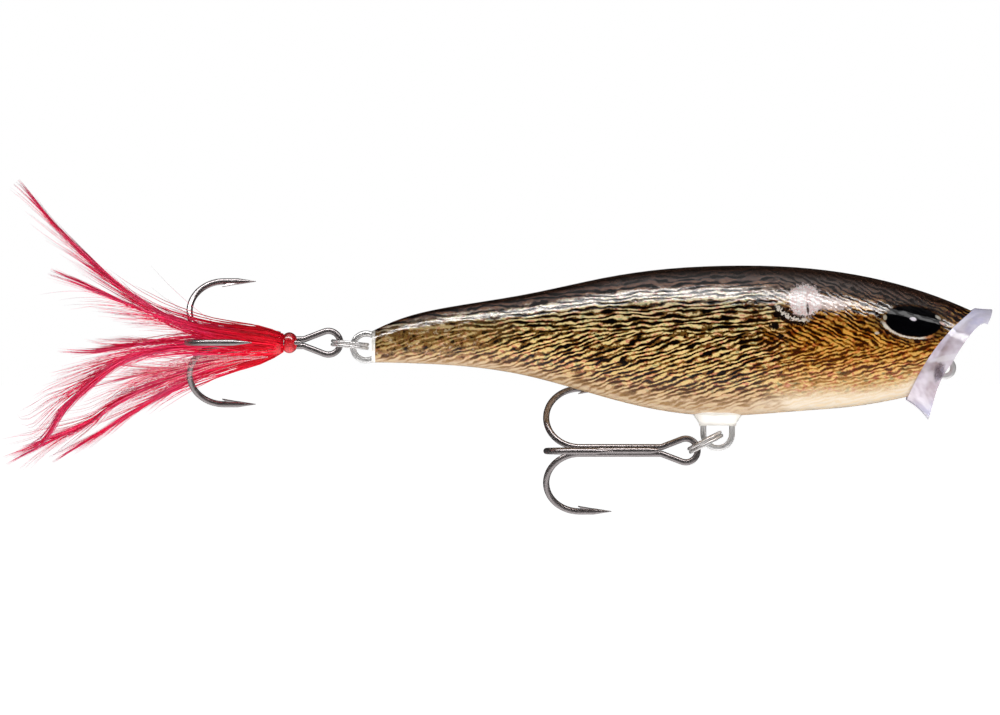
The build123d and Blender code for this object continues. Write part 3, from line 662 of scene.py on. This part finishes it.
def feather(node, depth, shares, tufts, dye_and_glow):
    """A dyed feather in place of its CAD slab: a tapered stem with tufts of barbs that cling in clumps."""
    low, high = mm_box(node)
    wrap_low, wrap_high = mm_box("thread_wrap")
    middle = (wrap_low + wrap_high) / 2
    root_depth = np.clip(depth, -1.0, 1.0)
    grip = (wrap_high[2] - wrap_low[2]) / 2 + 0.1
    points = [(mm_box("head_bead")[0][0] + 0.35, root_depth * 0.1, middle[2])]
    for along, up in shares:
        settle = min(along / 0.3, 1.0)
        lift = low[2] + up * (high[2] - low[2])
        lift = middle[2] + (lift - middle[2]) * min(0.55 + along * 2, 1.0)
        back = high[0] - along * (high[0] - low[0])
        points.append((back, root_depth + (depth - root_depth) * settle, lift))
    spine = Spine(points)
    stem = np.array([spine.at(share) for share in np.linspace(0, 0.97, 24)])
    fibres = [(stem, 0.40, 0.15)]
    for _ in range(ROOT_BARBS):
        reach, angle = rng.uniform(0.30, 0.62), rng.uniform(0, 2 * math.pi)
        puff, fan = rng.uniform(0.8, 1.1), rng.normal(0, 0.7)
        path = []
        for share in np.linspace(0, 1, 10):
            here = reach * share
            swell = (0.62 + 0.38 * min(share / 0.25, 1.0)) * (1 - share) ** 0.6
            off = np.array((0.0, math.cos(angle), math.sin(angle))) * grip * puff * swell
            path.append(spine.at(here) + off + spine.across(here) * fan * share)
        fibres.append((np.array(path), rng.uniform(0.18, 0.28), rng.uniform(0, 0.7)))
    for count, leave, reach, spread, thickness in tufts:
        clumps = max(count // CLUMP, 1)
        centres = np.column_stack([rng.uniform(*leave, clumps), rng.uniform(*reach, clumps),
                                   rng.uniform(*spread, clumps), rng.normal(0, 0.5, clumps)])
        for _ in range(count):
            start, length, side, drift = centres[rng.integers(clumps)]
            start = np.clip(start + rng.normal(0, 0.05), 0.0, 0.85)
            side += rng.normal(0, 0.10) + rng.uniform(-0.12, 0.12) * abs(side)
            length = min(length * rng.uniform(0.8, 1.15), LONGEST_REACH - start)
            path = barb(spine, start, length, side * min(length / 0.3, 1.0), drift + rng.normal(0, 0.25))
            fibres.append((path, thickness * rng.uniform(0.9, 1.7), rng.uniform()))
    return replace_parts(tubes(node + "_barbs", fibres, dye_and_glow, "tail_treble"), node)


def stray_barbs(dye_and_glow):
    """A few loose barbs that stand away from the top of the dressing."""
    low, high = mm_box("feather_top_long")
    root = np.array((high[0] - 5.0, -1.2, low[2] + 0.2))
    ends = [((-16.9, -1.0, 10.2), 0.07), ((-17.0, 0.6, 7.2), 0.06), ((-14.4, -2.0, 5.4), 0.06)]
    fibres = []
    for (dx, dy, dz), thickness in ends:
        end = np.array((high[0] + dx, dy, low[2] + dz))
        sag = np.array((0, 0, -1.6))
        path = [root + (end - root) * t + sag * 4 * t * (1 - t) * 0.5 for t in np.linspace(0, 1, 12)]
        fibres.append((np.array(path), thickness, 0.95))
    return tubes("stray_barbs", fibres, dye_and_glow, "tail_treble")


FLASH_STRANDS = 26


def flash(material):
    """Fine glitter strands that fan out among the lower barbs."""
    low, high = mm_box("flash_strands")
    fibres = []
    for strand in range(FLASH_STRANDS):
        fall = -1.2 - 5.4 * strand / (FLASH_STRANDS - 1) + rng.normal(0, 0.3)
        length = rng.uniform(17.0, 24.0)
        start = np.array((high[0], rng.uniform(-0.9, 0.9), rng.uniform(low[2] + 0.6, high[2] - 0.3)))
        depth = rng.uniform(-2.4, 2.6)
        path = []
        for t in np.linspace(0, 1, 30):
            ripple = 0.10 * math.sin(9 * t + strand) + 0.05 * math.sin(31 * t + 2 * strand)
            path.append(start + np.array((-length * t, depth * t, fall * t**1.3 + ripple)))
        fibres.append((np.array(path), rng.uniform(0.06, 0.11), rng.uniform()))
    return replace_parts(tubes("flash_glitter", fibres, material, "tail_treble"), "flash_strands")


THREAD_PITCH = 0.22  # between the turns
THREAD_RIDGE = 0.07  # how far a turn stands out
THREAD_RINGS, THREAD_AROUND = 72, 64  # corners of its mesh


def wound_thread(material):
    """The tying thread: close turns side by side over the feather roots."""
    low, high = mm_box("thread_wrap")
    middle = (low + high) / 2
    half_y, half_z = (high[1] - low[1]) / 2 - THREAD_RIDGE, (high[2] - low[2]) / 2 - THREAD_RIDGE
    places, faces = [], []
    for share in np.linspace(0, 1, THREAD_RINGS + 1):
        x = low[0] + share * (high[0] - low[0])
        shoulder = 0.90 + 0.10 * math.sin(math.pi * share)
        for j in range(THREAD_AROUND):
            angle = 2 * math.pi * j / THREAD_AROUND
            ridge = THREAD_RIDGE * abs(math.sin(math.pi * (x / THREAD_PITCH + j / THREAD_AROUND)))
            y = middle[1] + (half_y * shoulder + ridge) * math.cos(angle)
            z = middle[2] + (half_z * shoulder + ridge) * math.sin(angle)
            places.append((x * MM, y * MM, z * MM))
    for first in range(0, THREAD_RINGS * THREAD_AROUND, THREAD_AROUND):
        for j in range(THREAD_AROUND):
            a, b = first + j, first + (j + 1) % THREAD_AROUND
            faces.append((a, b, b + THREAD_AROUND, a + THREAD_AROUND))
    faces.append(tuple(reversed(range(THREAD_AROUND))))
    faces.append(tuple(THREAD_RINGS * THREAD_AROUND + j for j in range(THREAD_AROUND)))
    piece = add_mesh("wound_thread", places, faces, material, smooth=True)
    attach(piece, "tail_treble")
    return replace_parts(piece, "thread_wrap")


# ---------------------------------------------------------------- put together


def coat(material, *nodes):
    """Gives CAD nodes their material."""
    for name in nodes:
        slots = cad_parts[name].data.materials
        slots.clear()
        slots.append(material)


# brightness of the surroundings from straight below, 0, over eye level, 0.5, to straight above, 1
WORLD_TONES = [(0.0, 1.2), (0.10, 0.9), (0.24, 0.08), (0.50, 0.01), (0.88, 0.02), (0.96, 0.35), (1.0, 0.9)]


def make_world():
    """White behind everything, with light from above and below and a darker ring at eye level."""
    world = bpy.data.worlds.new("studio")
    world.use_nodes = True
    bpy.context.scene.world = world
    nodes, links = world.node_tree.nodes, world.node_tree.links
    direction = nodes.new("ShaderNodeTexCoord").outputs["Generated"]
    height = nodes.new("ShaderNodeSeparateXYZ")
    links.new(direction, height.inputs[0])
    level = nodes.new("ShaderNodeMapRange")
    level.inputs["From Min"].default_value = -1
    links.new(height.outputs[2], level.inputs["Value"])
    ramp = nodes.new("ShaderNodeValToRGB")
    links.new(level.outputs[0], ramp.inputs[0])
    set_stops(ramp.color_ramp.elements, [(place, (tone, tone, tone, 1)) for place, tone in WORLD_TONES])
    light = nodes["Background"]
    links.new(ramp.outputs[0], light.inputs[0])
    seen = nodes.new("ShaderNodeBackground")
    seen.inputs[0].default_value = (1, 1, 1, 1)
    seen.inputs[1].default_value = 1.0
    pick = nodes.new("ShaderNodeMixShader")
    links.new(nodes.new("ShaderNodeLightPath").outputs["Is Camera Ray"], pick.inputs[0])
    links.new(light.outputs[0], pick.inputs[1])
    links.new(seen.outputs[0], pick.inputs[2])
    links.new(pick.outputs[0], nodes["World Output"].inputs[0])


def make_floor():
    """A plain pale floor, bright enough to meet the white behind it without a line."""
    half = FLOOR_SIDE / 2
    corners = [(-half, -half), (half, -half), (half, half), (-half, half)]
    g = Graph("floor_paper")
    paper = g.noise(g.position()[0], scale=0.02, detail=3.0)
    colour = g.mix(paper, (0.86, 0.86, 0.86, 1), (0.90, 0.90, 0.90, 1))
    g.finish(Base_Color=colour, Roughness=0.9, Emission_Color=(1, 1, 1, 1), Emission_Strength=0.9,
             Specular_IOR_Level=0.0)
    floor = add_mesh("floor", [(x, y, FLOOR_Z) for x, y in corners], [(0, 1, 2, 3)], g.material)
    floor.visible_glossy = False


make_camera()
make_world()
make_floor()
softbox("gloss_strip", (-0.12, -0.235, 0.44), (1.4, 0.20), 9.5, diffuse=False)
softbox("key_fill", (-0.04, -0.36, 0.345), (1.4, 0.25), 14.0, gloss=False)
softbox("front_fill", (-0.06, -0.9, 0.25), (1.2, 0.8), 3.2, gloss=False)
softbox("top_fill", (-0.06, 0.25, 0.8), (1.2, 0.8), 1.8, gloss=False)

dye_and_glow = feather_dye_and_glow()
stainless = metal("stainless_wire", paint(206, 204, 204), paint(246, 244, 242), 0.2, 0.55)
nickel = metal("nickel_ring", paint(196, 192, 190), paint(242, 238, 236), 0.2, 0.62)
black_nickel = metal("black_nickel", paint(128, 121, 121), paint(176, 168, 168), 0.20, 0.82)
coat(fur_print_and_painted_highlights(), *BODY)
coat(stainless, "through_wire")
coat(nickel, "belly_split_ring", "tail_split_ring")
for treble in ("belly_treble", "tail_treble"):
    coat(black_nickel, treble + "_double_hook", treble + "_single_hook")
coat(cast_lead(), "belly_ballast", "tail_ballast")
coat(clear_cup_and_painted_reflections(), "cup_face")
coat(white_plastic(), "belly_hanger_pedestal", "tail_plate")
coat(red_lacquer(), "head_bead")
for node, depth, shares, tufts in FEATHERS:
    feather(node, depth, shares, tufts, dye_and_glow)
stray_barbs(dye_and_glow)
flash(flash_film())
wound_thread(red_thread())
